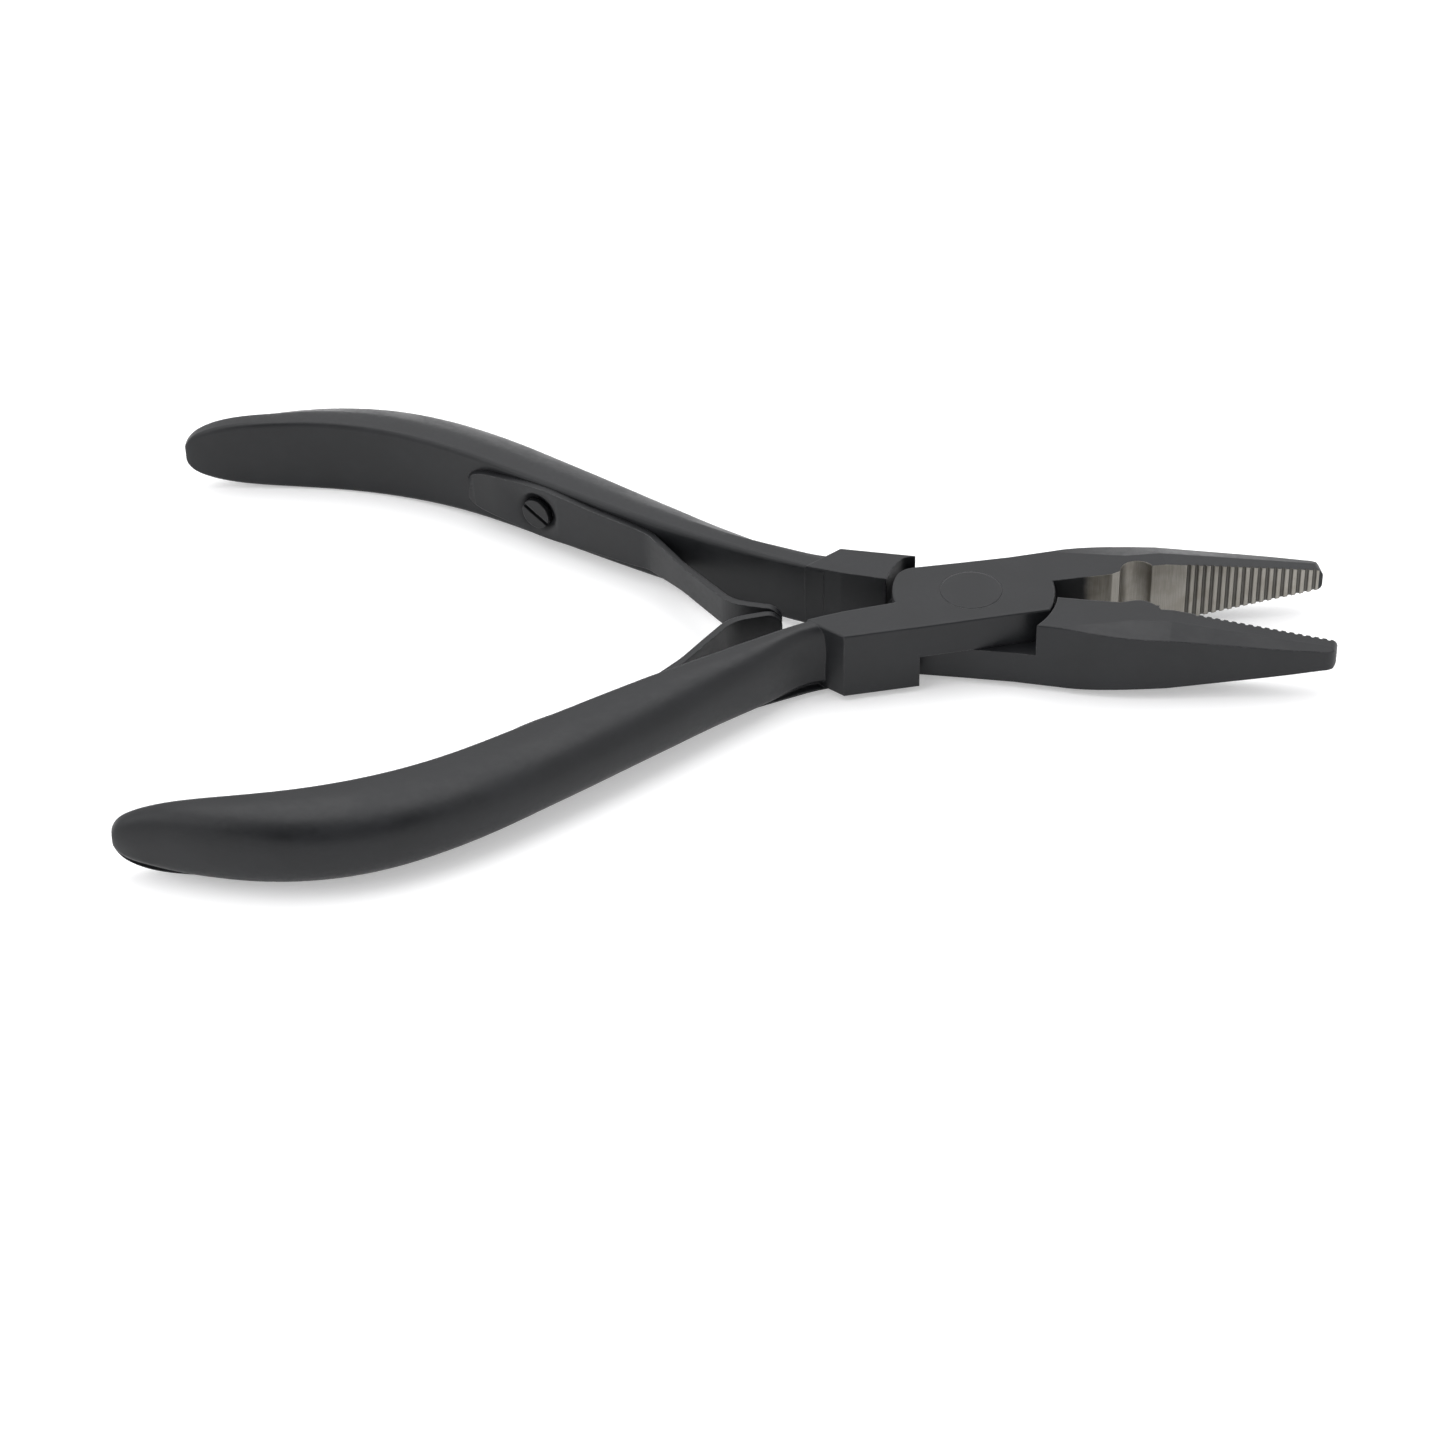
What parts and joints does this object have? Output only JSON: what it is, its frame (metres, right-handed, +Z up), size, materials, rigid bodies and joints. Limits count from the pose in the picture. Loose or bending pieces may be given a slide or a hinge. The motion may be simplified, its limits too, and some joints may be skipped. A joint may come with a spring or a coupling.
{
  "type": "flat nose pliers",
  "caption": "Spring-loaded flat nose pliers with a lap joint, serrated tapered jaws, a wire notch and slim bowed handles.",
  "frame": {"origin": "pivot axis on the underside of the joint, which the pliers rest on", "axes": "+X from the pivot toward the jaws along the line the two jaws close on, +Y toward the jaw of the upper lever, +Z up along the pivot axis"},
  "size_m": [0.1406, 0.0872, 0.0102],
  "materials": {
    "black_coating": "satin black coating on forged steel",
    "spring_steel": "satin black coating on spring steel",
    "fastener_steel": "black screw and rivet heads"
  },
  "bodies": {
    "upper_half": {"upper_lever": "black_coating", "pivot_rivet": "fastener_steel", "upper_spring_screw": "fastener_steel"},
    "lower_half": {"lower_lever": "black_coating", "lower_spring_screw": "fastener_steel"},
    "upper_leaf": {"upper_leaf_spring": "spring_steel"},
    "lower_leaf": {"lower_leaf_spring": "spring_steel"}
  },
  "joints": [
    {"name": "pivot", "type": "hinge", "parent": "upper_half", "child": "lower_half", "pos_m": [0, 0, 0], "axis": [0, 0, 1], "range_deg": [-8, 18.5], "stiffness_Nm_per_rad": 2},
    {"name": "upper_leaf_flex", "type": "hinge", "parent": "upper_half", "child": "upper_leaf", "pos_m": [-0.042, -0.0174, 0.0044], "axis": [0, 0, 1], "range_deg": [-10.8, 4.7], "deforming": ["upper_leaf_spring"]},
    {"name": "lower_leaf_flex", "type": "hinge", "parent": "lower_half", "child": "lower_leaf", "pos_m": [-0.042, 0.0174, 0.0044], "axis": [0, 0, 1], "range_deg": [-4.7, 10.8], "deforming": ["lower_leaf_spring"]}
  ],
  "couplings": [
    {"joint": "upper_leaf_flex", "follows": "pivot", "ratio": -0.575},
    {"joint": "lower_leaf_flex", "follows": "pivot", "ratio": 0.575}
  ]
}
